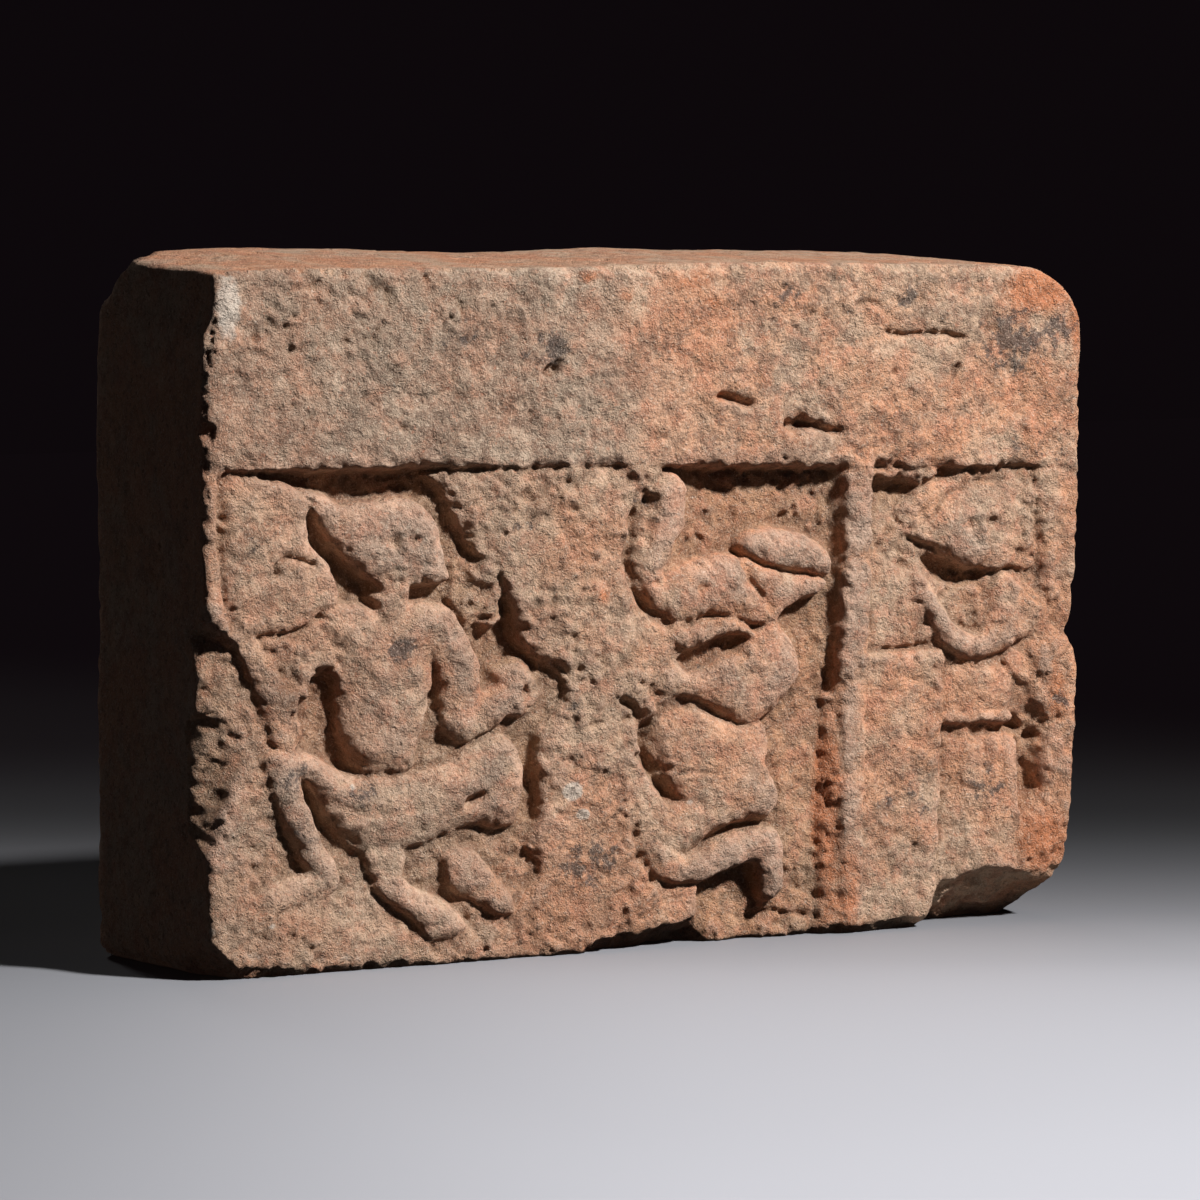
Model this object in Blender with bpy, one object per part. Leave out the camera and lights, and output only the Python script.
"""Carved terracotta block: a plain band over a sunk panel with three figures and a post.

Metres, Z up. The carved face looks along -Y, +X is to its right. The origin is on the
underside, at the middle of the block's box. Lengths inside the carving functions are in
millimetres, taken across (x) and up (z) the face, with depth counted back from its front plane.
"""
import math

import bmesh
import bpy
import numpy as np

# ------------------------------------------------------------------ driving sizes, mm
BLOCK_WIDTH = 421.0        # end to end
BLOCK_THICKNESS = 100.0    # carved face to back
BLOCK_HEIGHT = 290.5       # underside to the highest point of the top
LATTICE_PITCH = 2.0        # cell of the block's surface before it is simplified
PANEL_PITCH = 1.0          # cell of the carved face's depth map
EDGE_SOFTENING = 0.8       # wear on the carving's edges, in cells
FACETS = 8200              # triangles of the finished solid
TRUE_WITHIN = 0.00015      # points of the bed and back this close to flat are flat, m
CLAY = (0.45, 0.245, 0.165, 1.0)
CLAY_ROUGHNESS = 0.92

# ------------------------------------------------------------------ noise
def _table(seed, n=64):
    return np.random.RandomState(seed).rand(n, n).astype(np.float32)

def noise2(x, z, size, seed):
    """Smooth value noise, -1..1, with lumps about `size` mm across."""
    n = 64
    t = _table(seed, n)
    u = x / size + 17.3
    v = z / size + 9.1
    iu = np.floor(u).astype(int)
    iv = np.floor(v).astype(int)
    fu = u - iu
    fv = v - iv
    fu = fu * fu * fu * (fu * (fu * 6 - 15) + 10)
    fv = fv * fv * fv * (fv * (fv * 6 - 15) + 10)
    a = t[iu % n, iv % n]
    b = t[(iu + 1) % n, iv % n]
    c = t[iu % n, (iv + 1) % n]
    d = t[(iu + 1) % n, (iv + 1) % n]
    return 2 * ((a * (1 - fu) + b * fu) * (1 - fv) + (c * (1 - fu) + d * fu) * fv) - 1

def fbm2(x, z, size, seed, octaves=4, gain=0.5):
    s = 0.0
    amp = 1.0
    tot = 0.0
    for i in range(octaves):
        # each octave is turned a little, so no grid shows
        a = 0.6 + 1.1 * i
        ca, sa = math.cos(a), math.sin(a)
        s = s + amp * noise2(x * ca - z * sa, x * sa + z * ca, size, seed + i)
        tot += amp
        amp *= gain
        size *= 0.5
    return s / tot

def cells2(x, z, size, seed):
    """Distance to the nearest of scattered points, about 0 to 1, in cells of `size` mm."""
    n = 64
    t = np.random.RandomState(seed).rand(2, n, n).astype(np.float32)
    u, v = x / size + 31.7, z / size + 27.3
    iu, iv = np.floor(u).astype(int), np.floor(v).astype(int)
    best = np.full(x.shape, 9.0, np.float32)
    for di in (-1, 0, 1):
        for dj in (-1, 0, 1):
            a, b = (iu + di) % n, (iv + dj) % n
            px = iu + di + t[0, a, b]
            pz = iv + dj + t[1, a, b]
            best = np.minimum(best, (px - u) ** 2 + (pz - v) ** 2)
    return np.sqrt(best)

def chunks2(x, z, size, seed, lean=1.3):
    """Angular lumps about `size` mm across, each a flat facet with its own height and lean."""
    n = 64
    t = np.random.RandomState(seed).rand(5, n, n).astype(np.float32)
    u, v = x / size + 31.7, z / size + 27.3
    iu, iv = np.floor(u).astype(int), np.floor(v).astype(int)
    best = np.full(x.shape, 9.0, np.float32)
    out = np.zeros(x.shape, np.float32)
    for di in (-1, 0, 1):
        for dj in (-1, 0, 1):
            a, b = (iu + di) % n, (iv + dj) % n
            du = u - (iu + di + t[0, a, b])
            dv = v - (iv + dj + t[1, a, b])
            d = du * du + dv * dv
            h = 2 * t[2, a, b] - 1 + lean * ((2 * t[3, a, b] - 1) * du + (2 * t[4, a, b] - 1) * dv)
            near = d < best
            out = np.where(near, h, out)
            best = np.minimum(best, d)
    return out

# ------------------------------------------------------------------ shapes
def slant(x, z, at):
    """Outlines are laid out on the front plane; one that lies `at` mm deeper is set over by this much."""
    return at * (x + 1373.0) / 2280.0, at * (z - 350.0) / 2280.0

def smooth_loop(pts, n=5):
    """Closed smooth curve through the given corners."""
    p = np.asarray(pts, float)
    m = len(p)
    out = []
    for i in range(m):
        p0, p1, p2, p3 = p[(i - 1) % m], p[i], p[(i + 1) % m], p[(i + 2) % m]
        for j in range(n):
            t = j / n
            out.append(0.5 * ((2 * p1) + (-p0 + p2) * t + (2 * p0 - 5 * p1 + 4 * p2 - p3) * t * t
                              + (-p0 + 3 * p1 - 3 * p2 + p3) * t ** 3))
    return np.array(out)

def poly_sd(x, z, p):
    d = np.full(x.shape, 1e9)
    s = np.ones(x.shape)
    m = len(p)
    for i in range(m):
        a = p[i]
        b = p[i - 1]
        ex, ez = b[0] - a[0], b[1] - a[1]
        wx, wz = x - a[0], z - a[1]
        t = np.clip((wx * ex + wz * ez) / (ex * ex + ez * ez + 1e-9), 0, 1)
        dx, dz = wx - ex * t, wz - ez * t
        d = np.minimum(d, dx * dx + dz * dz)
        c1 = z >= a[1]
        c2 = z < b[1]
        c3 = ex * wz > ez * wx
        s = np.where((c1 & c2 & c3) | (~c1 & ~c2 & ~c3), -s, s)
    return s * np.sqrt(d)

def chain_sd(x, z, pts):
    """Distance to a limb: a chain of (x, z, radius) joints."""
    d = np.full(x.shape, 1e9)
    if len(pts) == 1:
        pts = [pts[0], (pts[0][0] + 0.01, pts[0][1], pts[0][2])]
    for (ax, az, ra), (bx, bz, rb) in zip(pts[:-1], pts[1:]):
        ex, ez = bx - ax, bz - az
        t = np.clip(((x - ax) * ex + (z - az) * ez) / (ex * ex + ez * ez), 0, 1)
        dd = np.hypot(x - ax - ex * t, z - az - ez * t) - (ra + (rb - ra) * t)
        d = np.minimum(d, dd)
    return d

def oval_sd(x, z, cx, cz, rx, rz, turn=0.0):
    a = math.radians(turn)
    u = (x - cx) * math.cos(a) + (z - cz) * math.sin(a)
    v = -(x - cx) * math.sin(a) + (z - cz) * math.cos(a)
    k1 = np.sqrt((u / rx) ** 2 + (v / rz) ** 2) + 1e-6
    k2 = np.sqrt((u / rx ** 2) ** 2 + (v / rz ** 2) ** 2) + 1e-6
    return k1 * (k1 - 1) / k2

def smin(a, b, k):
    h = np.clip(0.5 + 0.5 * (b - a) / k, 0, 1)
    return b + (a - b) * h - k * h * (1 - h)

def smax(a, b, k):
    return -smin(-a, -b, k)

def step(a, b, v):
    t = np.clip((v - a) / (b - a), 0, 1)
    return t * t * (3 - 2 * t)

def blur(a, sigma):
    """Gaussian blur by the Fourier transform, edges mirrored."""
    if sigma <= 0:
        return a
    m = int(4 * sigma) + 2
    p = np.pad(a, m, mode="reflect")
    fx = np.fft.fftfreq(p.shape[0])[:, None]
    fz = np.fft.rfftfreq(p.shape[1])[None, :]
    g = np.exp(-2 * (math.pi * sigma) ** 2 * (fx * fx + fz * fz))
    q = np.fft.irfft2(np.fft.rfft2(p) * g, s=p.shape)
    return q[m:-m, m:-m]

class Panel:
    """Depth map of the carved face, in mm behind the front plane (x across, z up)."""
    def __init__(self, x0, x1, z0, z1, pitch):
        self.xs = np.arange(x0, x1 + pitch / 2, pitch)
        self.zs = np.arange(z0, z1 + pitch / 2, pitch)
        self.pitch = pitch
        self.X, self.Z = np.meshgrid(self.xs, self.zs, indexing="ij")
        self.D = np.zeros(self.X.shape)
        self.R = np.ones(self.X.shape)         # how rough the skin is

    def window(self, pts, margin):
        p = np.asarray(pts, float)[:, :2]
        i0 = max(0, int((p[:, 0].min() - margin - self.xs[0]) / self.pitch))
        i1 = min(len(self.xs), int((p[:, 0].max() + margin - self.xs[0]) / self.pitch) + 2)
        j0 = max(0, int((p[:, 1].min() - margin - self.zs[0]) / self.pitch))
        j1 = min(len(self.zs), int((p[:, 1].max() + margin - self.zs[0]) / self.pitch) + 2)
        return slice(i0, i1), slice(j0, j1)

    def sd(self, shape, at, margin):
        kind, data = shape
        mid = np.asarray(data[:2] if kind == "oval" else [q[:2] for q in data], float)
        mid = mid if kind == "oval" else mid.mean(0)
        dx, dz = slant(mid[0], mid[1], at)
        if kind == "loop":
            p = smooth_loop(data) + np.array([dx, dz])
            w = self.window(p, margin)
            return w, poly_sd(self.X[w], self.Z[w], p)
        if kind == "poly":
            p = np.asarray(data, float) + np.array([dx, dz])
            w = self.window(p, margin)
            return w, poly_sd(self.X[w], self.Z[w], p)
        if kind == "limb":
            q = [(a + dx, b + dz, r) for a, b, r in data]
            m = margin + max(r for _, _, r in q)
            w = self.window(q, m)
            return w, chain_sd(self.X[w], self.Z[w], q)
        if kind == "oval":
            cx, cz, rx, rz, turn = data
            r = max(rx, rz)
            w = self.window([(cx + dx - r, cz + dz - r), (cx + dx + r, cz + dz + r)], margin)
            return w, oval_sd(self.X[w], self.Z[w], cx + dx, cz + dz, rx, rz, turn)

    def up(self, shape, top, w=5.0, h=3.0, wall=2.5, k=1.2, tilt=(0.0, 0.0), rough=0.0, seed=0, edge=0.0, extra=None, skin=0.5, moat=0.0, reach=3.0):
        """Leave a form standing: top depth, rounding of width w and drop h, then a steep wall."""
        at = top + 0.6 * h
        win, sd = self.sd(shape, at, 26)
        x, z = self.X[win], self.Z[win]
        if edge:
            sd = sd + edge * fbm2(x, z, 7.0, 300 + seed, 3)
        t = np.clip(1 + sd / w, 0, 1)
        prof = h * (1 - np.sqrt(np.maximum(0, 1 - t * t * 0.985)))
        cx, cz = x[sd < 0].mean() if (sd < 0).any() else 0, z[sd < 0].mean() if (sd < 0).any() else 0
        s = top + tilt[0] * (x - cx) + tilt[1] * (z - cz) + prof + wall * np.maximum(sd, 0)
        if rough:
            s = s + rough * fbm2(x, z, 9.0, 400 + seed, 4)
        if extra is not None:
            s = s + extra(x, z)
        if moat:
            # the ground is cut deeper close to the form, most below it and to its left
            n = int(round(1.5 / self.pitch))
            shade = np.minimum(sd, np.roll(np.roll(sd, -n, 0), -n, 1))
            self.D[win] = self.D[win] + moat * np.exp(-(np.maximum(shade, 0) / reach) ** 2) * step(0.5, 4.0, self.D[win] - s + 1.0)
        on = step(-0.4, 0.8, self.D[win] - s)
        self.R[win] = self.R[win] * (1 - on) + skin * on
        self.D[win] = smin(self.D[win], s, k)

    def down(self, shape, depth, w=2.0, h=1.5, wall=3.0, k=0.8, rough=0.0, seed=0, edge=0.0, at=None):
        """Cut a hollow to the given depth."""
        win, sd = self.sd(shape, depth * 0.3 if at is None else at, 26)
        x, z = self.X[win], self.Z[win]
        if edge:
            sd = sd + edge * fbm2(x, z, 6.0, 500 + seed, 3)
        t = np.clip(1 + sd / w, 0, 1)
        prof = h * (1 - np.sqrt(np.maximum(0, 1 - t * t * 0.985)))
        s = depth - prof - wall * np.maximum(sd, 0)
        if rough:
            s = s + rough * fbm2(x, z, 8.0, 600 + seed, 4)
        on = step(-0.4, 0.8, s - self.D[win])
        self.R[win] = self.R[win] * (1 - on) + 1.0 * on
        self.D[win] = smax(self.D[win], s, k)

    def line(self, pts, width, depth, wob=0.0, seed=0):
        """A crack or groove along a bent line."""
        q = [(a, b, 0.0) for a, b in pts]
        w = self.window(q, width * 4 + 3)
        x, z = self.X[w], self.Z[w]
        if wob:
            x = x + wob * fbm2(x, z, 6.0, 700 + seed, 2)
            z = z + wob * fbm2(x, z, 6.0, 720 + seed, 2)
        d = chain_sd(x, z, q)
        self.D[w] += depth * np.exp(-(d / width) ** 2)

    def pit(self, cx, cz, rx, rz, depth, turn=0.0, edge=0.3, seed=0):
        w = self.window([(cx - rx, cz - rx), (cx + rx, cz + rx), (cx - rz, cz - rz), (cx + rz, cz + rz)], 3)
        x, z = self.X[w], self.Z[w]
        sd = oval_sd(x, z, cx, cz, rx, rz, turn) / min(rx, rz)
        sd = sd + edge * fbm2(x, z, 3.0, 800 + seed, 3)
        self.D[w] += depth * (1 - step(-0.6, 0.35, sd))

    def scoop(self, pts, depth, fall, x_from, rough, seed):
        """A break that falls away towards the left end, past x_from."""
        win, sd = self.sd(("poly", pts), 0.0, 26)
        x, z = self.X[win], self.Z[win]
        sd = sd + 1.2 * fbm2(x, z, 9.0, 900 + seed, 3)
        s = depth + fall * np.maximum(0, x_from - x) + rough * fbm2(x, z, 11.0, 920 + seed, 5, 0.62)
        s = s - 1.6 * np.maximum(sd, 0)
        on = step(-0.4, 0.8, s - self.D[win])
        self.R[win] = self.R[win] * (1 - on) + 1.6 * on
        self.D[win] = smax(self.D[win], s, 1.0)


HALF_W, HALF_T, TOP = BLOCK_WIDTH / 2, BLOCK_THICKNESS / 2, BLOCK_HEIGHT

def noise3(p, size, seed):
    n = 32
    t = np.random.RandomState(seed).rand(n, n, n).astype(np.float32)
    q = p / size + 11.7
    i = np.floor(q).astype(int)
    f = q - i
    f = f * f * f * (f * (f * 6 - 15) + 10)
    i0 = i % n
    i1 = (i + 1) % n
    def g(a, b, c):
        return t[a[:, 0], b[:, 1], c[:, 2]]
    x0 = g(i0, i0, i0) * (1 - f[:, 0]) + g(i1, i0, i0) * f[:, 0]
    x1 = g(i0, i1, i0) * (1 - f[:, 0]) + g(i1, i1, i0) * f[:, 0]
    x2 = g(i0, i0, i1) * (1 - f[:, 0]) + g(i1, i0, i1) * f[:, 0]
    x3 = g(i0, i1, i1) * (1 - f[:, 0]) + g(i1, i1, i1) * f[:, 0]
    y0 = x0 * (1 - f[:, 1]) + x1 * f[:, 1]
    y1 = x2 * (1 - f[:, 1]) + x3 * f[:, 1]
    return 2 * (y0 * (1 - f[:, 2]) + y1 * f[:, 2]) - 1

def fbm3(p, size, seed, octaves=4, gain=0.5):
    s = 0.0
    tot = 0.0
    amp = 1.0
    for k in range(octaves):
        s = s + amp * noise3(p, size, seed + k)
        tot += amp
        amp *= gain
        size *= 0.5
    return s / tot

def lattice(pitch):
    """Closed box of square cells: corner points (unit coordinates in mm) and quads."""
    nx = int(round(2 * HALF_W / pitch)); ny = int(round(2 * HALF_T / pitch)); nz = int(round(TOP / pitch))
    X = np.linspace(-HALF_W, HALF_W, nx + 1); Y = np.linspace(-HALF_T, HALF_T, ny + 1); Z = np.linspace(0, TOP, nz + 1)
    key = -np.ones((nx + 1, ny + 1, nz + 1), dtype=np.int64)
    shell = np.zeros(key.shape, bool)
    shell[0] = shell[-1] = True; shell[:, 0] = shell[:, -1] = True; shell[:, :, 0] = shell[:, :, -1] = True
    idx = np.argwhere(shell)
    key[shell] = np.arange(len(idx))
    pts = np.stack([X[idx[:, 0]], Y[idx[:, 1]], Z[idx[:, 2]]], 1)
    quads = []
    def add(a, flip):
        q = np.stack([a[:-1, :-1], a[1:, :-1], a[1:, 1:], a[:-1, 1:]], -1).reshape(-1, 4)
        quads.append(q[:, ::-1] if flip else q)
    add(key[:, 0, :], False)     # front, faces -Y
    add(key[:, -1, :], True)
    add(key[0, :, :], True)      # left, faces -X
    add(key[-1, :, :], False)
    add(key[:, :, 0], True)      # underside
    add(key[:, :, -1], False)
    return pts, np.concatenate(quads)

def top_height(x, y):
    front = np.interp(x, [-210, -177, -85, -38, 10, 60, 109, 160, 186, 210], [282.5, 283.8, 282.7, 282.5, 283.3, 283.5, 282.3, 280.8, 279.8, 278.0])
    back = np.interp(x, [-210, -189, -168, -117, -78, -43, 30, 59, 91, 156, 192, 210], [288.0, 289.3, 290.5, 290.2, 288.7, 287.2, 288.2, 286.8, 286.7, 284.6, 282.0, 279.5])
    t = np.clip((y + HALF_T) / (2 * HALF_T), 0, 1)
    return front + (back - front) * t

def corner(a, b, ca, cb, r, sa, sb):
    """Round the corner of a plane section: a, b coordinates, (ca, cb) the corner, r its radius, sa, sb the way out."""
    va = (a - (ca - sa * r)) * sa
    vb = (b - (cb - sb * r)) * sb
    m = (va > 0) & (vb > 0)
    ln = np.hypot(va, vb) + 1e-9
    k = np.where(m, np.maximum(va, vb) / ln, 1.0)
    return np.where(m, ca - sa * r + sa * va * k, a), np.where(m, cb - sb * r + sb * vb * k, b)

CHIPS = [  # point, outward normal, roughness, x from, x to
    ((-210, 50, 262), (-0.60, 0.45, 0.66), 2.5, -250, 250),       # back top corner, left
    ((-205, -50, 280), (-0.70, -0.35, 0.62), 1.5, -250, 250),       # front top corner, left
    ((-203, -50, 12), (-0.66, -0.25, -0.70), 0.8, -250, -150),      # front bottom corner, left
    ((150, -50, 22), (0.02, -0.66, -0.75), 3.2, 143, 250),          # broken underside, right
    ((197, -50, 17), (0.55, -0.35, -0.76), 1.0, 150, 250),          # end of that break
    ((0, -50, 9), (0.10, -0.55, -0.83), 1.5, -30, 20),              # chipped foot, middle
    ((60, -50, 1.6), (0.05, -0.60, -0.80), 0.8, 40, 134),
    ((-110, -50, 2.6), (-0.02, -0.66, -0.75), 1.0, -200, -28),
    ((210, 40, 285), (0.62, 0.42, 0.66), 1.5, -250, 250),           # back top corner, right
    ((205, 50, 8), (0.62, 0.52, -0.58), 1.5, -250, 250),
]

def shape_block(p, depth_at, noise=1.0):
    """Carry lattice points to the worn block. depth_at(x, z) is the carved depth in mm."""
    x, y, z = p[:, 0].copy(), p[:, 1].copy(), p[:, 2].copy()
    # small rounding of every edge
    r = 3.0
    lo = np.array([-HALF_W + r, -HALF_T + r, r]); hi = np.array([HALF_W - r, HALF_T - r, TOP - r])
    c = np.clip(p, lo, hi)
    v = p - c
    ln = np.linalg.norm(v, axis=1, keepdims=True)
    q = np.where(ln > 1e-9, c + v / np.maximum(ln, 1e-9) * np.minimum(r, np.abs(v).max(1, keepdims=True)), p)
    x, y, z = q[:, 0], q[:, 1], q[:, 2]
    # worn corners of the front outline
    t = np.clip((y + HALF_T) / (2 * HALF_T), 0, 1)
    x, z = corner(x, z, HALF_W, TOP, 30 - 16 * t, 1, 1)
    x, z = corner(x, z, -HALF_W, 0, 11 - 2 * t, -1, -1)
    x, z = corner(x, z, HALF_W, 0, 9.0 + 0 * t, 1, -1)
    x, y = corner(x, y, -HALF_W, HALF_T, np.interp(z, [0, 60, 150, 230, 290], [2.5, 2.5, 4.0, 6.0, 9.0]), -1, 1)
    x, y = corner(x, y, HALF_W, HALF_T, 8.0 + 0 * t, 1, 1)
    y, z = corner(y, z, HALF_T, TOP, 5.0 + 0 * t, 1, 1)
    # uneven ends: how far each end stands in, along its height
    left_in = np.interp(z, [0, 20, 60, 110, 150, 200, 262, 270, 290], [3.0, 3.2, 2.4, 1.2, 0.6, 0.0, 0.5, 3.5, 5.0])
    right_in = np.interp(z, [0, 15, 25, 50, 94, 107, 116, 124, 140, 155, 175, 195, 223, 248, 290],
                         [12.0, 10.5, 6.0, 3.4, 0.2, 0.0, 1.6, 5.4, 3.2, 1.6, 0.8, 0.6, 0.0, 0.0, 0.0])
    s = x / HALF_W
    front = 1 - 0.55 * np.clip((y + HALF_T) / (2 * HALF_T), 0, 1)
    x = np.where(s < 0, x + left_in * np.abs(s) ** 6 * (2.0 * front - 0.95), x - right_in * np.abs(s) ** 6 * front)
    # uneven top
    z = z * (1 + (top_height(x, y) / TOP - 1) * step(200, TOP, z))
    P = np.stack([x, y, z], 1)
    # chips: everything beyond the plane is brought back to it
    for i, (p0, n, rough, xa, xb) in enumerate(CHIPS):
        n = np.asarray(n) / np.linalg.norm(n)
        d = (P - np.asarray(p0)) @ n
        d = d - 1.1 * np.maximum(0, np.maximum(xa - P[:, 0], P[:, 0] - xb))
        near = d > -6
        if near.any():
            w = np.zeros(len(P))
            w[near] = rough * noise * fbm3(P[near], 9.0, 900 + 10 * i, 3)
            d = d - w
            P = P - np.maximum(d, 0)[:, None] * n
    # carved face
    D = depth_at(P[:, 0], P[:, 2])
    k = np.clip((HALF_T - P[:, 1]) / (2 * HALF_T), 0, 1)
    P[:, 1] = P[:, 1] + D * k
    P[:, 2] = np.maximum(P[:, 2], 0)
    P[:, 1] = np.minimum(P[:, 1], HALF_T)
    return P


def arris(x):
    """Height of the lower edge of the plain band."""
    return np.interp(x, [-212, -160, -100, -60, -30, 0, 60, 100, 150, 212],
                     [204.6, 203.9, 203.0, 202.0, 201.8, 200.6, 198.9, 197.6, 196.3, 195.2])

PADS = [  # x, z, depth of the sunk ground
    (-205, 175, 3), (-206, 50, 2.5), (-196, 85, 6), (-194, 62, 5.5), (-185, 52, 8.5), (-202, 30, 3), (-190, 14, 2.5), (-198, 118, 8),
    (-160, 14, 3), (-130, 6, 3), (-148, 38, 7), (-130, 22, 6), (-112, 30, 9), (-84, 26, 7), (-160, 55, 10), (-112, 40, 7), (-100, 12, 4), (-80, 8, 4), (-60, 12, 4), (-60, 45, 7),
    (-66, 48, 9), (-40, 80, 3), (-30, 50, 3), (-30, 20, 3), (-62, 80, 13), (-62, 64, 12), (-54, 108, 8), (-172, 112, 7), (-157, 102, 12), (-107, 103, 9), (-106, 118, 9), (-108, 88, 7),
    (-92, 150, 11), (-78, 131, 16), (-68, 118, 13), (-66, 106, 7), (-155, 165, 13), (-162, 182, 11), (-140, 152, 12), (-100, 180, 11), (-92, 192, 9),
    (-125, 198, 16), (-152, 197, 15), (-108, 198, 14), (30, 190, 13), (60, 192, 12), (80, 185, 9.5), (80, 150, 9), (72, 118, 9.5), (70, 137, 12), (60, 134, 12), (70, 80, 9), (70, 50, 9), (72, 20, 9),
    (30, 12, 11), (25, 175, 11), (50, 180, 12), (-20, 170, 4), (-20, 130, 4),
    (112, 170, 6), (126, 176, 8), (120, 140, 6), (150, 138, 7), (170, 140, 6), (160, 105, 6), (145, 60, 6.5), (120, 60, 5), (120, 10, 3), (184, 168, 7),
    (165, 60, 6), (188, 64, 13), (190, 35, 4.5), (186, 50, 8), (186, 76, 9), (200, 100, 3), (198, 170, 2.5), (198, 130, 3.5), (160, 194, 4), (185, 196, 3.5), (118, 190, 12),
]

SKIN = [  # x, z, half width, half height, how much rougher or smoother
    (-35, 30, 26, 26, 0.40), (-30, 70, 20, 16, 0.65), (-130, 14, 60, 12, 0.45), (-108, 96, 8, 14, 0.5), (-60, 185, 26, 14, 1.5), (-85, 190, 14, 14, 1.3),
    (-62, 152, 14, 10, 0.45), (-30, 175, 14, 20, 0.7), (75, 110, 12, 50, 0.6), (75, 50, 12, 40, 0.6), (34, 18, 14, 12, 0.6), (-196, 40, 12, 20, 0.6),
    (-50, 115, 14, 12, 1.4), (-35, 140, 10, 10, 0.7), (-195, 150, 8, 30, 0.8), (190, 150, 12, 40, 1.2), (160, 10, 40, 12, 1.3), (-50, 6, 20, 6, 1.3), (-172, 116, 12, 18, 1.3), (-166, 134, 14, 6, 1.2), (-205, 90, 12, 40, 1.15), (-125, 175, 20, 14, 1.5), (-180, 182, 16, 16, 1.3),
]

def ground(x, z):
    num = np.zeros(x.shape)
    den = np.full(x.shape, 1e-9)
    for cx, cz, d in PADS:
        w = np.exp(-(((x - cx) / 14.0) ** 2 + ((z - cz) / 13.0) ** 2)) + 1e-5
        num += w * d
        den += w
    return num / den

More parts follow.
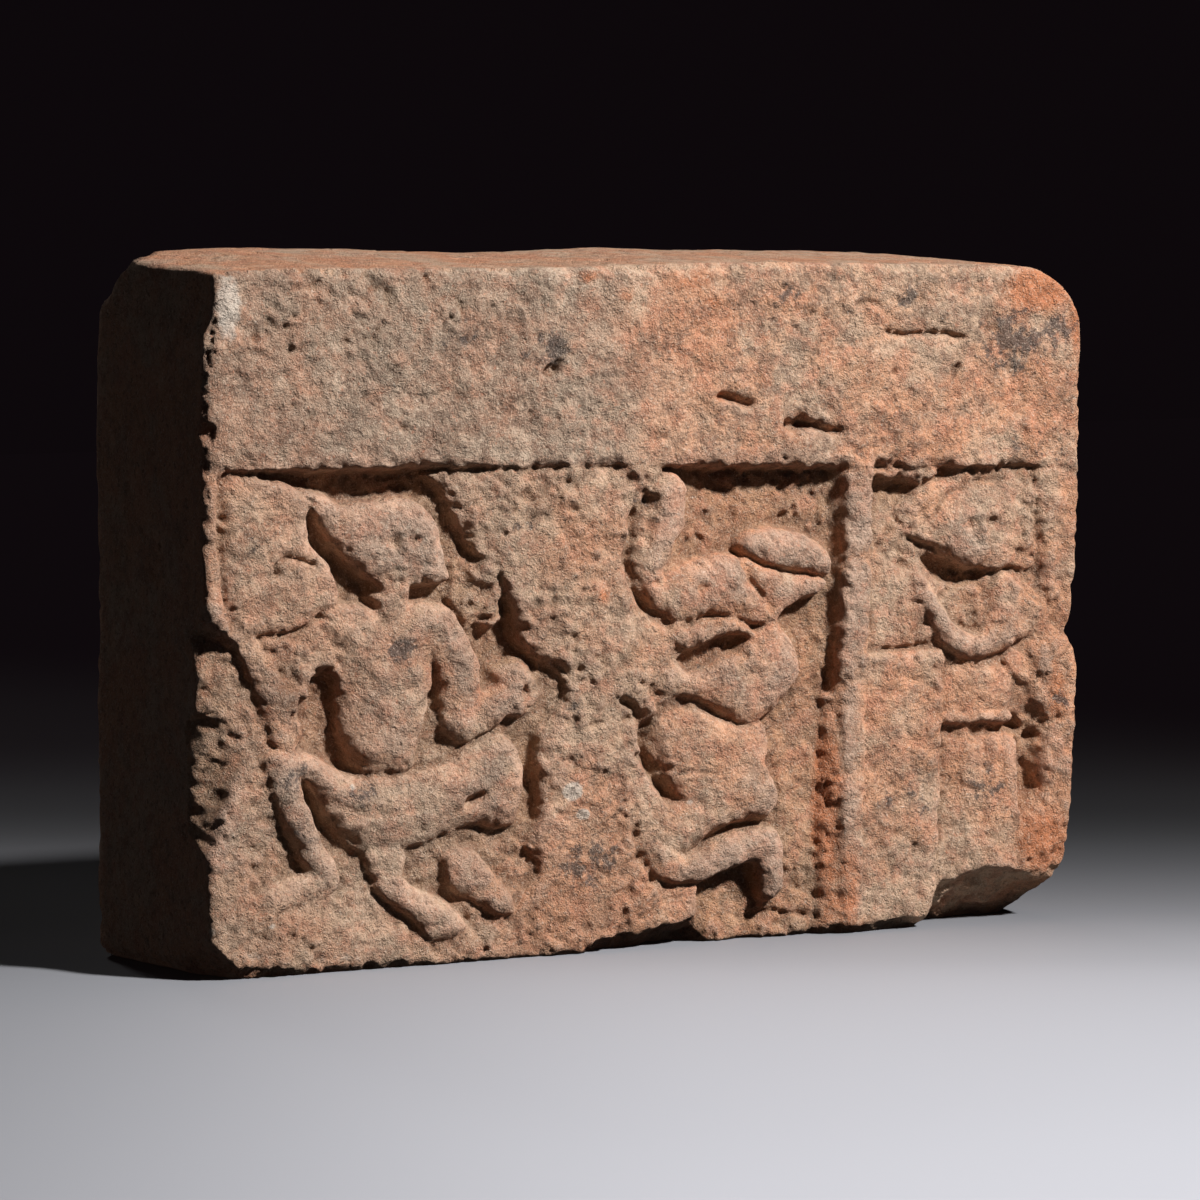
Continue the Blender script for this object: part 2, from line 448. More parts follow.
def carve(P, fine=True):
    X, Z = P.X, P.Z
    r = 1.0 if fine else 0.0                    # how much of the fine roughness is cut
    # sunk panel below the plain band
    g = ground(X - 5.0, Z + 0.6)
    below = arris(X) - Z                       # + under the band
    if fine:
        below = below + 0.5 * fbm2(X, Z, 5.0, 11, 3)
    wall = np.clip(below * 5.0, -50, 60)
    P.D = np.where(below > -1, smin(g, np.maximum(wall, 0), 0.8), 0.0)
    P.D = np.maximum(P.D, 0)
    P.R = 1.0 - 0.45 * step(1.5, -1.5, below)
    # ---- border strip at the left
    P.up(("poly", [(-216, 206), (-204, 206), (-203.5, 170), (-202.5, 155), (-198, 142), (-194, 136), (-200, 137), (-206, 140), (-212, 146), (-216, 150)]),
         0.3, w=2.5, h=1.2, wall=2.0, k=0.6)
    # ---- raised field left of the first figure
    P.up(("loop", [(-202, 201), (-192, 201.5), (-182, 199.5), (-174, 198), (-167, 194.5), (-164, 190), (-165, 183), (-163, 175), (-159, 169.5),
                   (-154, 165), (-151, 158), (-149.5, 150), (-158, 146), (-167, 141), (-176, 139), (-186, 138.5), (-196, 137), (-199, 145),
                   (-201.5, 158), (-202, 180)]),
         2.2, w=5, h=2.2, wall=3.8, k=0.7, tilt=(0.05, -0.01), rough=0.8 * r, seed=1, skin=0.45)
    P.line([(-203.2, 201), (-203.4, 180), (-202.6, 160), (-200.5, 148), (-197.5, 139)], 0.9, 3.0, 0.5, 2)
    P.line([(-177.5, 162), (-176, 166), (-171, 168.2), (-166, 167.2), (-160, 165.5)], 1.1, 3.6, 0.6, 3)
    P.line([(-168, 141), (-163, 144.5), (-157, 147)], 1.2, 1.2, 0.5, 4)

    # ---- broad damaged field in the middle, running down to the foot of the panel, dipping to its upper left
    P.up(("loop", [(-101, 203), (-101, 194), (-97, 184), (-90, 173), (-84, 165), (-76, 160), (-72.5, 152), (-68, 143), (-65, 134), (-60, 126),
                   (-51, 120), (-45, 112), (-49, 100), (-56, 93), (-57, 80), (-56, 68), (-58, 56), (-63, 47), (-58, 40), (-58, 32), (-66, 24),
                   (-70, 12), (-60, 3), (-30, 2), (-18, 10), (-10, 14), (-3, 19), (0, 24), (-4, 31), (-8, 40), (-9, 48), (-3, 58), (3, 64),
                   (-3, 76), (-8, 88), (-10, 98), (-4, 110), (4, 120), (12, 130), (6, 138), (-6, 146), (-12, 158), (-13, 175), (-8, 190), (-6, 203)]),
         2.6, w=5, h=2.0, wall=3.2, k=0.8, rough=1.3 * r, seed=5, edge=0.8 * r, moat=2.0,
         extra=lambda x, z: 1.6 * step(-58, -100, x) * step(145, 175, z) - 0.6 * step(-60, -35, x), skin=0.85)
    # rubble in the gap beside it
    P.up(("poly", [(-99, 164), (-92, 167), (-84, 166), (-76, 160), (-73, 153), (-77, 147), (-75, 141), (-81, 137), (-87, 140), (-91, 136), (-96, 142), (-101, 149), (-98, 156)]),
         7.5, w=3, h=1.5, wall=2.2, k=0.8, rough=1.0 * r, seed=60, edge=1.8 * r, tilt=(-0.06, 0.0), skin=1.3)
    P.up(("poly", [(-90, 163), (-83, 165), (-76, 159), (-82, 154), (-90, 156)]), 5.4, w=3, h=1.4, wall=2.0, k=0.6, rough=1.0 * r, seed=61, edge=1.6 * r, skin=1.2)

    # ======== first figure: squatting, knees apart ========
    # ground right of the worn arm
    P.up(("loop", [(-184, 137), (-166, 134), (-150, 131), (-150, 120), (-158, 118), (-163, 109), (-167, 98), (-172, 91), (-181, 93), (-185, 104), (-187, 120)]),
         5.2, w=5, h=1.5, wall=2.0, k=1.5, rough=2.2 * r, seed=7, edge=1.0 * r, skin=1.5)
    P.down(("loop", [(-165, 103), (-161, 112), (-157, 118.5), (-151, 119.5), (-146, 108), (-144, 96), (-141, 84), (-147, 83), (-152, 89), (-156, 97)]), 12.5, w=2, h=1.2, wall=2.8, at=0, edge=1.0 * r)
    # lap
    P.up(("loop", [(-184, 87), (-180, 91.5), (-172, 92), (-163, 89), (-155, 85), (-147, 81), (-136, 79.5), (-118, 79.5), (-108, 81), (-100, 83),
                   (-92, 88), (-84, 92), (-76, 93), (-69, 89), (-65.5, 82), (-64.5, 72), (-66, 62), (-69, 56), (-76, 55), (-86, 56.5), (-96, 56),
                   (-105, 52), (-115, 49.5), (-126, 48.5), (-138, 48), (-147, 52), (-154, 60), (-159, 69), (-165, 77), (-174, 80)]),
         0.7, w=13, h=6.0, wall=4.0, k=0.9, tilt=(0.0, -0.02), rough=0.5 * r, seed=6, skin=0.3, moat=3.0)
    P.line([(-166, 78), (-158, 66), (-150, 57), (-141, 52.5)], 1.6, 2.2, 0.4, 16)
    P.line([(-157, 73), (-148, 67), (-136, 63.5), (-124, 63), (-112, 66)], 1.3, 1.1, 0.5, 17)
    P.line([(-150, 78), (-138, 73.5), (-124, 72.5), (-112, 75), (-102, 78)], 1.6, 0.9, 0.5, 18)
    P.line([(-112, 56), (-102, 60.5), (-94, 63)], 1.2, 1.2, 0.4, 19)
    # left shin and foot
    P.up(("limb", [(-176, 84, 7.2), (-172, 70, 6.8), (-163, 50, 6.0), (-157, 42, 6.0)]), 1.4, w=6.5, h=4.2, wall=4.0, k=0.8, skin=0.3, moat=3.5)
    P.up(("loop", [(-150, 39), (-153, 33.5), (-160, 30.5), (-168, 27.5), (-177, 24.5), (-186, 26), (-191, 30.5), (-187, 35), (-178, 38), (-168, 41), (-158, 44)]),
         2.2, w=5, h=2.0, wall=4.0, k=0.6, tilt=(0, 0.03), rough=0.4 * r, seed=11, skin=0.3, moat=3.5)
    P.line([(-152, 34.5), (-160, 31), (-169, 27.8), (-177, 25)], 0.9, 1.4, 0.2, 14)
    # middle ankle and foot
    P.up(("loop", [(-138, 49), (-122, 49), (-121, 41), (-124, 37), (-131, 36), (-137, 40)]), 3.0, w=3, h=1.8, wall=4.0, k=0.6, skin=0.35, moat=3.0)
    P.up(("loop", [(-133, 37), (-124, 38.5), (-117, 33), (-110, 29.5), (-103, 27), (-97, 22), (-92, 14.5), (-97, 11.5), (-107, 10.5), (-112, 14.5),
                   (-116, 19.5), (-123, 24.5), (-130, 29.5), (-133.5, 33)]), 1.0, w=5.5, h=2.8, wall=4.0, k=0.6, rough=0.35 * r, seed=12, skin=0.28, moat=5.0)
    # right foot
    P.up(("loop", [(-99, 47), (-88, 46), (-81, 39), (-74, 31.5), (-69.5, 24), (-69.5, 19.5), (-76, 18.5), (-83, 22), (-91, 26.5), (-98.5, 31.5), (-101, 39)]),
         1.4, w=6, h=3.0, wall=4.0, k=0.6, rough=0.4 * r, seed=13, skin=0.3, moat=4.0)
    P.line([(-90, 18.5), (-87, 15.5), (-84, 13)], 1.6, 1.8, 0.4, 15)
    # left arm, much worn
    P.up(("limb", [(-152, 136, 9), (-166, 131, 8), (-180, 130, 6)]), 4.4, w=8, h=2.5, wall=1.5, k=1.5, rough=1.8 * r, seed=8, skin=0.9)
    P.up(("limb", [(-191, 134, 5.0), (-184, 122, 5.8), (-178, 110, 6.0), (-175, 98, 6.0)]), 3.4, w=5, h=2.2, wall=3.0, k=1.2, rough=1.0 * r, seed=9)
    # right arm
    P.up(("limb", [(-104, 138, 9.0), (-95, 122, 10.0), (-93.5, 101, 9.6)]), 0.8, w=10, h=5.2, wall=4.0, k=0.9, rough=0.5 * r, seed=16, skin=0.3, moat=3.5, reach=4.0)
    P.up(("limb", [(-92, 100, 9.5), (-80, 104, 7.5), (-71, 108, 6.5)]), 1.6, w=8, h=4.0, wall=3.2, k=1.0, rough=0.9 * r, seed=17, skin=0.4, moat=2.5)
    P.up(("poly", [(-74, 119), (-66, 121), (-60, 117), (-57, 111), (-60, 104), (-66, 100), (-74, 101), (-78, 110)]), 2.6, w=5, h=2.4, wall=2.2, k=1.2, rough=2.4 * r, seed=10, edge=1.5 * r, skin=1.2)
    # torso
    P.up(("loop", [(-160, 147), (-150, 149.5), (-140, 148.5), (-130, 146), (-118, 148), (-106, 148), (-101, 142), (-106, 134), (-107.5, 126), (-107.5, 118), (-110, 107),
                   (-113, 96), (-115, 87), (-118, 80.5), (-129, 79.5), (-139, 80.5), (-144.5, 85), (-148, 93), (-150.5, 104), (-151, 116), (-152, 128), (-156, 140)]),
         0.6, w=15, h=7.0, wall=4.0, k=0.8, tilt=(-0.05, 0.015), rough=0.5 * r, seed=18, skin=0.33)
    # neck and head
    P.up(("poly", [(-132.5, 141), (-118.0, 141), (-118.0, 162), (-132.5, 162)]), 2.6, w=4, h=2.0, wall=3.0, k=0.8)
    P.up(("loop", [(-166, 194), (-159, 193), (-151, 189), (-143, 184), (-138, 176), (-146, 170), (-152, 173), (-158, 181), (-163, 188)]),
         2.6, w=4, h=2.0, wall=3.5, k=1.2)
    P.up(("loop", [(-149, 186), (-142, 188.5), (-132, 189.5), (-121, 189.5), (-112.5, 188), (-107, 183), (-103.5, 175), (-101.5, 166), (-99.5, 159),
                   (-103, 156), (-110, 156), (-117, 156), (-127, 156.5), (-134, 158.5), (-141, 162.5), (-147, 168), (-151, 173), (-152, 180)]),
         0.6, w=9, h=4.4, wall=4.5, k=0.8, rough=0.6 * r, seed=19, tilt=(-0.03, 0.0), skin=0.4)

    # ======== middle figure: kneeling, trunk raised ========
    P.line([(-10, 180), (-12.5, 165), (-12, 152), (-8, 144.5), (-1, 138.5), (6, 134.5)], 3.0, 3.6, 0.3, 20)
    P.line([(-2, 99), (-5, 89), (-4, 79), (0.5, 70), (7, 63)], 3.4, 4.0, 0.3, 21)
    P.line([(-10, 48), (-8.5, 38), (-3, 30), (5, 26.5)], 2.4, 3.0, 0.3, 22)
    # trunk, curled at its tip
    P.up(("limb", [(8, 141, 5.5), (-1, 147, 6.0), (-5, 157, 5.8), (-1, 168, 6.4), (4.5, 178, 7.8), (4.0, 187.5, 10.0)]), 0.9, w=8, h=4.0, wall=4.0, k=0.8, rough=0.5 * r, seed=23, skin=0.35, moat=4.0)
    P.line([(-6, 190), (-4.5, 183), (-4, 175), (-5, 168)], 1.8, 1.6, 0.4, 24)
    P.pit(-2.5, 186, 3.4, 2.6, 3.4, 20, seed=1)
    # head
    P.up(("loop", [(2, 154), (9, 157), (15, 159.5), (22, 161.5), (31, 162), (39, 161), (42, 157), (45.5, 151), (50, 145), (55, 138), (57, 133.5), (48, 133.5),
                   (36, 136.5), (25, 138), (15, 135.5), (8, 135), (2, 139.5), (-2, 146)]), 0.4, w=9, h=4.0, wall=3.6, k=0.8, rough=0.5 * r, seed=24, skin=0.35, moat=3.0)
    P.pit(21.5, 149, 2.8, 1.8, 2.0, 10, seed=14)
    P.pit(-1, 152, 2.0, 1.4, 1.8, 0, seed=15)
    # lower jaw
    P.up(("loop", [(10, 129.5), (15, 133.5), (24, 136), (36, 135.5), (44, 132), (46, 128), (38, 128.5), (30, 129), (22, 127), (15, 124.5), (11, 125.5)]),
         1.6, w=3.5, h=1.8, wall=3.6, k=0.6, skin=0.4)
    # arms raised to the mouth
    P.up(("loop", [(-9, 116), (-4, 120), (5, 120), (13, 118.5), (20, 117), (27, 120), (34, 122.5), (40, 127), (48, 131.5), (56, 135), (61.5, 129), (66, 121.5),
                   (68.5, 113), (65, 106), (60, 100.5), (54, 96), (48, 92.5), (42.5, 91), (37, 92.5), (30, 96.5), (20, 102.5), (10, 105.5), (2, 106.5), (-5, 111)]),
         0.4, w=10, h=4.8, wall=4.2, k=0.8, rough=0.5 * r, seed=25, skin=0.35, moat=3.5)
    # ears: an upper and a lower lobe
    P.up(("loop", [(54, 133), (52, 139), (49.5, 145), (45, 151), (41.5, 157), (41, 161.5), (47, 158.5), (57, 155.5), (67, 153), (76, 151.5), (81, 150), (80, 146.5),
                   (74, 144), (66, 142), (61, 139), (57.5, 134.5)]), 1.0, w=6, h=2.8, wall=4.4, k=0.5, rough=0.4 * r, seed=26, skin=0.35, moat=4.0)
    P.up(("loop", [(40.5, 163.5), (41.5, 168), (45, 170.7), (53, 172), (61, 171.8), (69, 170), (77, 166.5), (82, 162.5), (84, 157.5), (82.5, 153), (78, 152.5), (70, 154),
                   (60, 156.5), (51, 158.5), (45, 161.0)]), 0.2, w=8, h=3.6, wall=4.8, k=0.5, rough=0.5 * r, seed=27, skin=0.35, moat=2.0)
    P.line([(58, 175), (62, 176.5), (67, 178)], 0.9, 1.8, 0.3, 25)
    P.line([(67, 178), (63, 174.5), (59, 173.5)], 0.8, 1.4, 0.3, 26)
    # belly
    P.up(("loop", [(0, 97), (5, 100), (13, 100), (21, 98), (30, 94), (40, 91.5), (50, 92), (53, 84), (52, 76), (54, 70), (57, 64), (55, 57), (40, 54), (20, 56),
                   (10, 61.5), (4.5, 67), (1, 75), (-1, 83), (-1, 91)]), 1.2, w=11, h=5.0, wall=4.0, k=0.8, tilt=(-0.02, 0.03), rough=0.5 * r, seed=28, skin=0.4, moat=4.5, reach=3.5)
    P.line([(-3, 93), (-4.2, 85), (-2.6, 77), (1.6, 69.5), (6.5, 64.5)], 2.6, 4.6, 0.3, 54)
    P.line([(11, 72.4), (17, 72.6), (24, 71.8), (32, 71.0)], 0.9, 1.5, 0.4, 27)
    P.line([(14, 68.5), (20, 69.2), (27, 67.6)], 0.8, 0.9, 0.4, 28)
    P.line([(6, 94), (14, 92.6), (24, 91.6)], 0.9, 0.9, 0.4, 29)
    P.line([(8, 87), (15, 88.2), (22, 87.4)], 0.8, 0.7, 0.4, 30)
    # thigh above, folded leg below
    P.up(("loop", [(-8, 50), (-4, 56), (5, 60), (16, 61), (30, 60), (44, 64), (55, 66), (57.5, 60), (55, 53.5), (49, 51), (40, 50.5), (31, 48.5),
                   (23, 45), (15, 40), (5, 37), (-4, 42)]), 0.8, w=10, h=4.4, wall=4.0, k=0.8, rough=0.5 * r, seed=29, skin=0.4, moat=3.5)
    P.down(("loop", [(17, 28), (30, 31), (42, 34), (48, 30), (51, 20), (52, -8), (43, -8), (42, 8), (36, 13), (18, 14)]), 12.5, w=2, h=1, wall=3.0, at=3)
    P.up(("loop", [(-8.5, 49), (-7.5, 38), (-3, 31), (4, 27.5), (12, 26.3), (21, 27.2), (31, 30), (41, 33), (46.5, 33.5), (49.5, 27), (50.5, 20), (54, 17), (59, 19),
                   (60.5, 28), (60.5, 40), (57, 46.5), (50, 48.0), (41, 46.5), (32, 44.5), (23, 41), (12, 39), (2, 47)]), 0.6, w=8, h=4.0, wall=4.4, k=0.7, rough=0.5 * r, seed=30, skin=0.35, moat=2.0)
    # standing shank and foot
    P.up(("poly", [(1, 26), (17.5, 26), (17.5, 19), (17, 9), (2, 9), (1, 18)]), 5.0, w=3, h=1.4, wall=2.8, k=0.6, rough=1.0 * r, seed=21)
    P.up(("loop", [(-13, 14.5), (-5, 18), (3, 20), (12, 17), (16, 12), (14, 8), (4, 9), (-6, 10)]), 4.4, w=4, h=1.6, wall=2.2, k=0.8, rough=1.0 * r, seed=22)
    P.line([(50, 9.5), (58, 11.2), (68, 10.4), (77, 9.0)], 1.1, 2.4, 0.4, 31)
    P.pit(-30, 95, 3.6, 1.4, 2.8, 5, seed=16)
    P.pit(-14, 95.5, 2.6, 2.0, 3.4, 10, seed=17)
    # small knob before the belly, and the hollows round it
    P.up(("loop", [(-20, 107), (-14, 108), (-6, 106), (-1, 101), (-3, 97), (-8, 96), (-12, 99.5), (-18, 103)]), 2.0, w=3.5, h=1.8, wall=2.4, k=0.8)
    P.pit(-13.5, 102.5, 5.0, 2.4, 5.0, -35, seed=11)
    P.pit(-7.0, 97.5, 3.0, 2.4, 4.0, -10, seed=12)

    # ======== post; its left edge is broken away low down ========
    P.up(("poly", [(91.0, 204), (105.0, 204), (104.5, 185), (104.0, 150), (101.5, 112), (100.3, 60), (99.5, -8), (89.5, -8), (89.5, 60), (89, 95), (88.5, 108), (89.5, 130), (91.0, 160)]),
         0.4, w=2.4, h=1.4, wall=4.5, k=0.8, rough=0.4 * r, seed=35)
    P.up(("poly", [(82.0, 101), (91, 104), (91, -8), (79.5, -8), (80.0, 30), (81.0, 60)]), 3.4, w=1.5, h=0.8, wall=3.4, k=0.8, rough=1.6 * r, seed=36, edge=1.0 * r, tilt=(-0.40, 0), skin=1.1, moat=2.5)

    # ======== right figure, leaning on a stand ========
    P.up(("loop", [(117, 177), (123, 183), (130, 187.5), (140, 190.5), (152, 191.5), (172, 191), (187, 190), (190.5, 182), (190, 166), (186, 155), (178, 151), (150, 160), (134, 164), (124, 167)]),
         3.4, w=5, h=2.0, wall=2.8, k=0.8, rough=0.8 * r, seed=37, skin=0.7)
    P.up(("loop", [(136.5, 173), (140.5, 179.5), (146, 184.8), (155, 187.3), (170, 187.3), (178.5, 186), (180, 175), (179, 160), (175.5, 153), (168, 151.5), (158, 152),
                   (151, 153.5), (145, 157), (139, 160), (136, 166)]), 0.6, w=10, h=4.6, wall=4.0, k=0.7, rough=0.6 * r, seed=38, skin=0.45, moat=3.0)
    P.line([(134.5, 168), (138.5, 177), (144.5, 184.5), (155, 189.2), (172, 189.5)], 1.2, 1.6, 0.5, 52)
    P.up(("poly", [(181.5, 158), (187.5, 158), (187.5, 187), (181.5, 187)]), 1.4, w=2.0, h=0.8, wall=2.5, k=0.5, rough=0.5 * r, seed=39)
    P.up(("poly", [(104, 199), (140, 199), (138, 193), (132, 190.5), (127, 188.5), (123, 191.5), (116, 192), (111, 190.5), (104, 192)]),
         2.6, w=3, h=1.4, wall=3.0, k=0.6, rough=1.4 * r, seed=48, edge=1.2 * r, skin=1.2)
    # worn arm at the left
    P.up(("loop", [(103, 160), (112, 157), (121, 153.5), (127.5, 148), (131.5, 141.5), (134.5, 134), (136, 127.5), (134, 122), (125, 119.8), (112, 119.5), (102, 120), (101, 140)]),
         1.8, w=8, h=3.0, wall=3.2, k=0.8, rough=0.7 * r, seed=40, skin=0.45, moat=1.5, extra=lambda x, z: 1.6 * step(146, 130, z))
    # folded arms and far shoulder
    P.up(("loop", [(130.5, 142), (135, 136), (140.5, 130), (147, 126.5), (154, 125.3), (160, 126.5), (164, 133), (166, 142), (170, 149), (176, 150), (182, 146.0), (188, 140.5),
                   (192.5, 134), (190.5, 127), (184, 122), (175, 118.8), (166, 115.4), (157, 113.4), (149, 114.8), (142, 118.5), (136, 124), (132, 132)]),
         0.7, w=8, h=4.4, wall=4.4, k=0.8, rough=0.5 * r, seed=43, skin=0.4, moat=3.0)
    # the roll of the near arm along their lower edge, and the line of the far one
    P.up(("limb", [(128, 148, 3.4), (134.5, 137.5, 4.0), (141.5, 127.5, 4.2), (150, 120.5, 4.2), (160, 118.5, 4.2), (172, 122, 4.0), (184, 128, 3.6)]), 0.0, w=4.5, h=2.2, wall=2.0, k=0.8, skin=0.35)
    P.line([(134, 146), (141, 135.5), (149.5, 127.8), (160, 125.8), (172, 129)], 1.1, 1.8, 0.4, 43)
    P.line([(175, 151.5), (179, 146.5), (184.5, 142), (190, 137)], 1.3, 2.6, 0.5, 44)
    P.line([(127, 126), (130.5, 128.4), (134, 129)], 0.8, 2.0, 0.3, 45)
    P.line([(143, 141), (151, 137.5), (160, 136.5)], 0.9, 1.0, 0.4, 46)
    # stands
    P.up(("poly", [(101, 118.5), (141, 118.0), (140, 100), (139.8, 60), (137.5, 12), (137, -8), (99, -8), (100, 60)]), 1.4, w=2.6, h=1.4, wall=3.6, k=0.5, rough=1.0 * r, seed=44, skin=0.5, moat=2.0, reach=1.5)
    P.up(("loop", [(142, 109.5), (152, 110), (165, 110), (172.5, 108.5), (175, 102), (174, 95), (170, 91.5), (141.5, 91)]), 2.6, w=5, h=2.2, wall=3.2, k=0.6, tilt=(0, -0.05), rough=0.5 * r, seed=45, skin=0.5, moat=1.5)
    P.up(("poly", [(139, 91), (174, 91), (176.5, 89), (174.5, 86.6), (140, 87)]), 1.2, w=1.8, h=1.0, wall=3.4, k=0.5, skin=0.4, moat=2.0, reach=1.6)
    P.up(("poly", [(141, 79), (151, 80), (151, 22), (140, 22)]), 4.4, w=1.5, h=0.8, wall=2.2, k=0.6, tilt=(-0.30, 0), rough=1.0 * r, seed=46)
    P.up(("poly", [(150, 80), (172, 80.5), (178, 78.5), (180.3, 73), (180.3, 22), (150, 22)]), 2.0, w=2.6, h=1.4, wall=3.6, k=0.5, rough=0.8 * r, seed=47, skin=0.5)
    P.line([(162.5, 79), (162.8, 60), (162.0, 40)], 0.8, 0.9, 0.4, 47)
    P.line([(171, 79), (171.4, 60), (170.6, 32)], 0.8, 0.9, 0.4, 48)
    P.line([(140, 43), (155, 42.6), (168, 43.4)], 0.8, 0.8, 0.4, 49)
    P.line([(134, 75), (141, 76.6), (150, 78)], 0.8, 1.6, 0.4, 50)
    P.line([(121, 97), (122, 90), (121.4, 84)], 0.8, 1.3, 0.4, 51)
    P.line([(141.5, 88), (141.2, 60), (140.4, 40), (138.6, 16)], 1.2, 2.4, 0.6, 53)
    # lumps at the far right
    P.up(("limb", [(177, 112, 5), (188, 104, 6), (197, 92, 6)]), 2.2, w=5, h=2.0, wall=1.8, k=1.0, rough=1.2 * r, seed=31, edge=0.8 * r)
    P.up(("loop", [(183, 118), (200, 122), (214, 112), (214, 88), (204, 84), (197, 96), (188, 110)]), 0.6, w=5, h=1.8, wall=1.8, k=1.0, rough=1.4 * r, seed=32, edge=1.0 * r)
    P.up(("loop", [(190, 203), (214, 203), (214, 128), (204, 128), (196, 134), (192, 145), (191, 165)]), 0.5, w=5, h=1.4, wall=1.8, k=1.0, rough=1.2 * r, seed=33, edge=0.8 * r)
    P.up(("loop", [(194, 80), (214, 84), (212, 16), (182, 18), (182, 42), (189, 46), (194, 56)]), 1.0, w=4, h=1.6, wall=2.0, k=0.8, rough=1.6 * r, seed=34, edge=0.8 * r)

    # ======== broken left border ========
    P.scoop([(-222, 55), (-209, 59), (-204, 68), (-196, 78), (-190, 87), (-188, 97), (-191, 102.5), (-205, 103.5), (-222, 102)],
            5.0, 0.70, -190, 2.6 if fine else 0.8, 41)
    P.scoop([(-222, 101), (-205, 102.5), (-191, 104), (-188, 112), (-190, 122), (-195, 129), (-200, 134), (-207, 137.5), (-213, 141), (-222, 144)],
            5.5, 0.28, -192, 2.4 if fine else 0.6, 42)

    # ======== hollows ========
    P.down(("loop", [(10, 119.3), (15, 123.0), (24, 125.4), (32, 128.0), (39.5, 128.0), (36.5, 123), (30, 120.4), (22, 117.4), (14, 116.4)]), 11.0, w=2, h=1, wall=3.5, at=5)
    P.down(("loop", [(105.5, 192), (105.5, 188), (110, 186), (115, 183.5), (122, 183), (127, 187.5), (122, 189.5), (116, 190.5), (110, 190)]), 11.0, w=2.5, h=1.5, wall=3.0, at=4, edge=0.6 * r)
    P.down(("loop", [(131, 157.5), (136, 157), (142, 155.6), (148, 152.6), (155, 150.8), (162, 150.6), (161, 148.6), (155, 145.6), (147, 146.2), (140, 148.4), (136, 151.0)]),
           12.0, w=2.5, h=1.5, wall=3.2, at=4)
    P.pit(181, 84, 5.5, 2.6, 6, -15, seed=3)
    P.pit(190.5, 79, 3.0, 2.4, 6, -30, seed=4)
    P.pit(-87, 67.5, 5.0, 2.0, 4, 25, seed=5)
    P.line([(-96, 60), (-90, 64), (-84, 67.5)], 1.4, 1.8, 0.3, 5)
    P.line([(17, 41.5), (24, 45), (32, 48.3), (41, 49.4), (50, 50.2)], 1.3, 2.0, 0.2, 6)
    P.line([(182, 76), (182.4, 62), (183, 48)], 1.8, 4.6, 0.3, 7)
    P.pit(187.5, 60, 3.6, 9.0, 3.0, 4, edge=0.8, seed=8)
    P.line([(188.5, 181), (188.5, 172), (188, 164)], 1.2, 2.0, 0.5, 8)
    P.line([(100, 101.6), (118, 101.5), (138, 101.2)], 0.9, 0.7, 0.3, 9)
    P.line([(112, 119.2), (124, 118.6), (134, 121.5)], 1.2, 2.0, 0.3, 10)
    P.line([(31, 164), (36, 162.8), (41, 162), (48, 158.7), (57, 156.0), (68, 153.0), (78, 151.6)], 0.9, 2.0, 0.2, 11)
    P.line([(41, 158), (44, 153.5), (48, 147.5), (51, 145)], 0.9, 1.6, 0.2, 12)
    P.line([(9, 136), (16, 136.2), (26, 138)], 0.9, 1.5, 0.2, 13)
    # some places are sounder, some more broken, than the rest of their kind
    if fine:
        for cx, cz, rx, rz, f in SKIN:
            P.R = P.R * (1 + (f - 1) * np.exp(-((X - cx) / rx) ** 2 - ((Z - cz) / rz) ** 2))
    return P

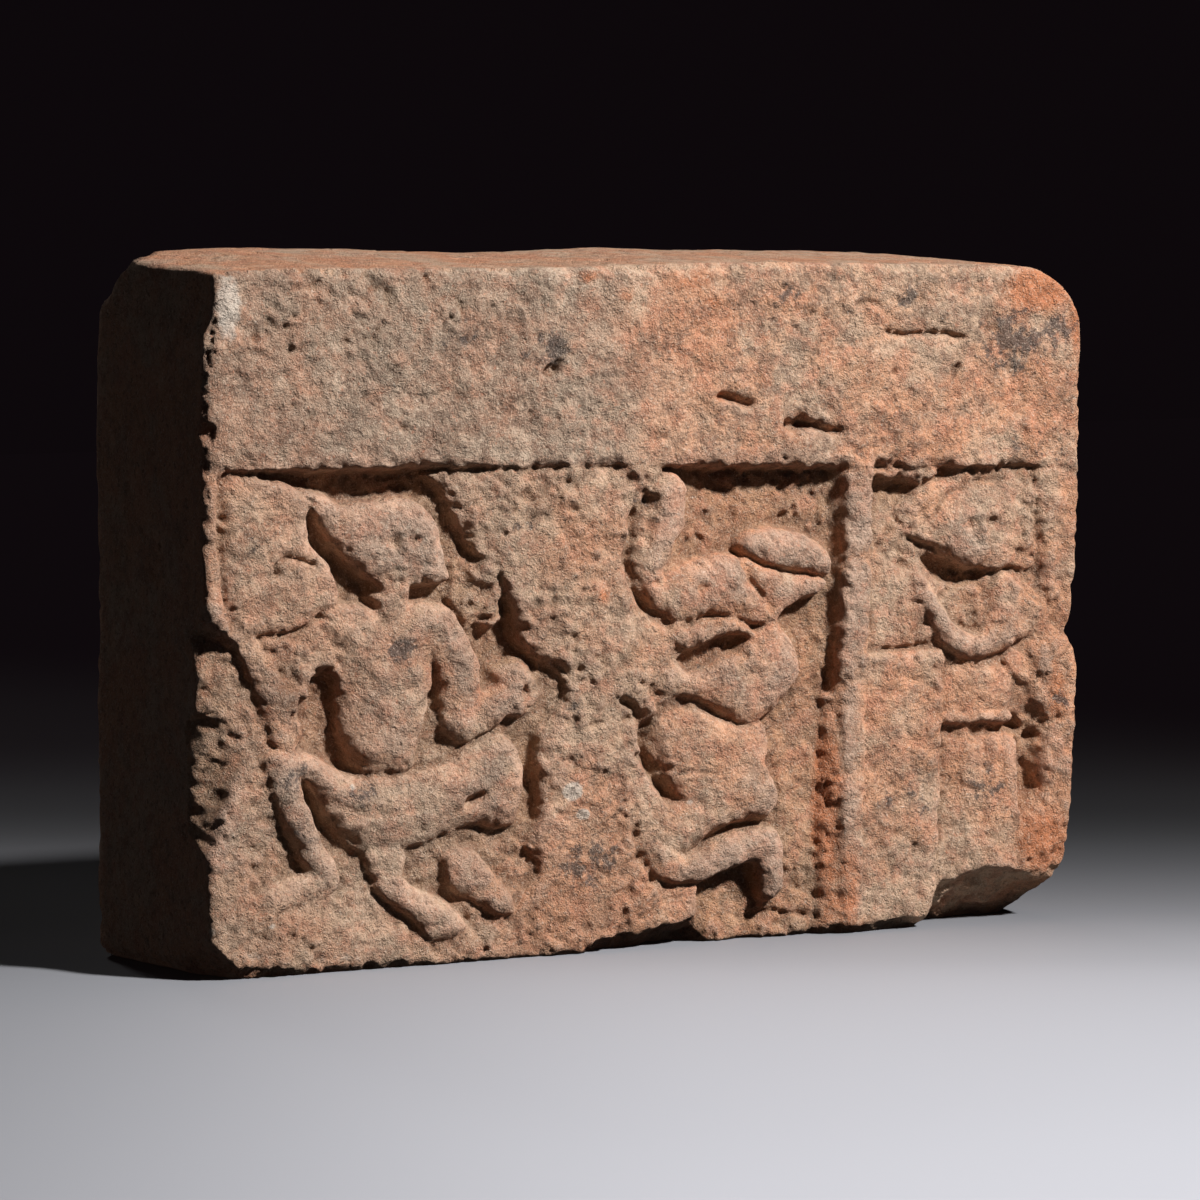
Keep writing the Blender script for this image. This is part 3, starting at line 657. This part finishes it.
# ------------------------------------------------------------------ the solid
def sampler(panel):
    """Depth of the carved face at any (x, z), read between the cells of its map."""
    D = blur(panel.D, EDGE_SOFTENING)
    x0, z0, h = panel.xs[0], panel.zs[0], panel.pitch

    def at(x, z):
        u = np.clip((x - x0) / h, 0, D.shape[0] - 1.001)
        v = np.clip((z - z0) / h, 0, D.shape[1] - 1.001)
        i, j = u.astype(int), v.astype(int)
        u, v = u - i, v - j
        return ((D[i, j] * (1 - u) + D[i + 1, j] * u) * (1 - v)
                + (D[i, j + 1] * (1 - u) + D[i + 1, j + 1] * u) * v)
    return at


def clay():
    m = bpy.data.materials.new("fired_clay")
    m.use_nodes = True
    b = m.node_tree.nodes["Principled BSDF"]
    b.inputs["Base Color"].default_value = CLAY
    b.inputs["Roughness"].default_value = CLAY_ROUGHNESS
    b.inputs["Metallic"].default_value = 0.0
    return m


def main():
    for ob in list(bpy.data.objects):
        bpy.data.objects.remove(ob, do_unlink=True)

    panel = Panel(-218, 218, -8, 300, PANEL_PITCH)
    carve(panel, False)
    points, quads = lattice(LATTICE_PITCH)
    points = shape_block(points, sampler(panel)) / 1000.0

    rough = bpy.data.meshes.new("rough_block")
    rough.from_pydata(points.tolist(), [], quads.tolist())
    bm = bmesh.new()
    bm.from_mesh(rough)
    bmesh.ops.triangulate(bm, faces=bm.faces[:])
    bm.to_mesh(rough)
    bm.free()
    shaped = bpy.data.objects.new("relief_block", rough)
    bpy.context.scene.collection.objects.link(shaped)

    # fewer, larger facets, closest on the carving
    dec = shaped.modifiers.new("facets", "DECIMATE")
    dec.decimate_type = "COLLAPSE"
    dec.ratio = FACETS / len(rough.polygons)
    bpy.context.view_layer.update()
    simple = bpy.data.meshes.new_from_object(shaped.evaluated_get(bpy.context.evaluated_depsgraph_get()))
    shaped.modifiers.clear()
    shaped.data = simple
    simple.name = "relief_block"
    bpy.data.meshes.remove(rough)

    # the origin at the middle of the box, on the underside, and the bed and the back trued flat
    co = np.empty(len(simple.vertices) * 3)
    simple.vertices.foreach_get("co", co)
    co = co.reshape(-1, 3)
    back = BLOCK_THICKNESS / 2000.0
    co[co[:, 1] > back - TRUE_WITHIN, 1] = back
    co[co[:, 2] < TRUE_WITHIN, 2] = 0.0
    lo, hi = co.min(0), co.max(0)
    co -= np.array([(lo[0] + hi[0]) / 2, (lo[1] + hi[1]) / 2, lo[2]])
    simple.vertices.foreach_set("co", co.ravel())
    simple.update()
    simple.materials.clear()
    simple.materials.append(clay())
    simple.shade_flat()


main()
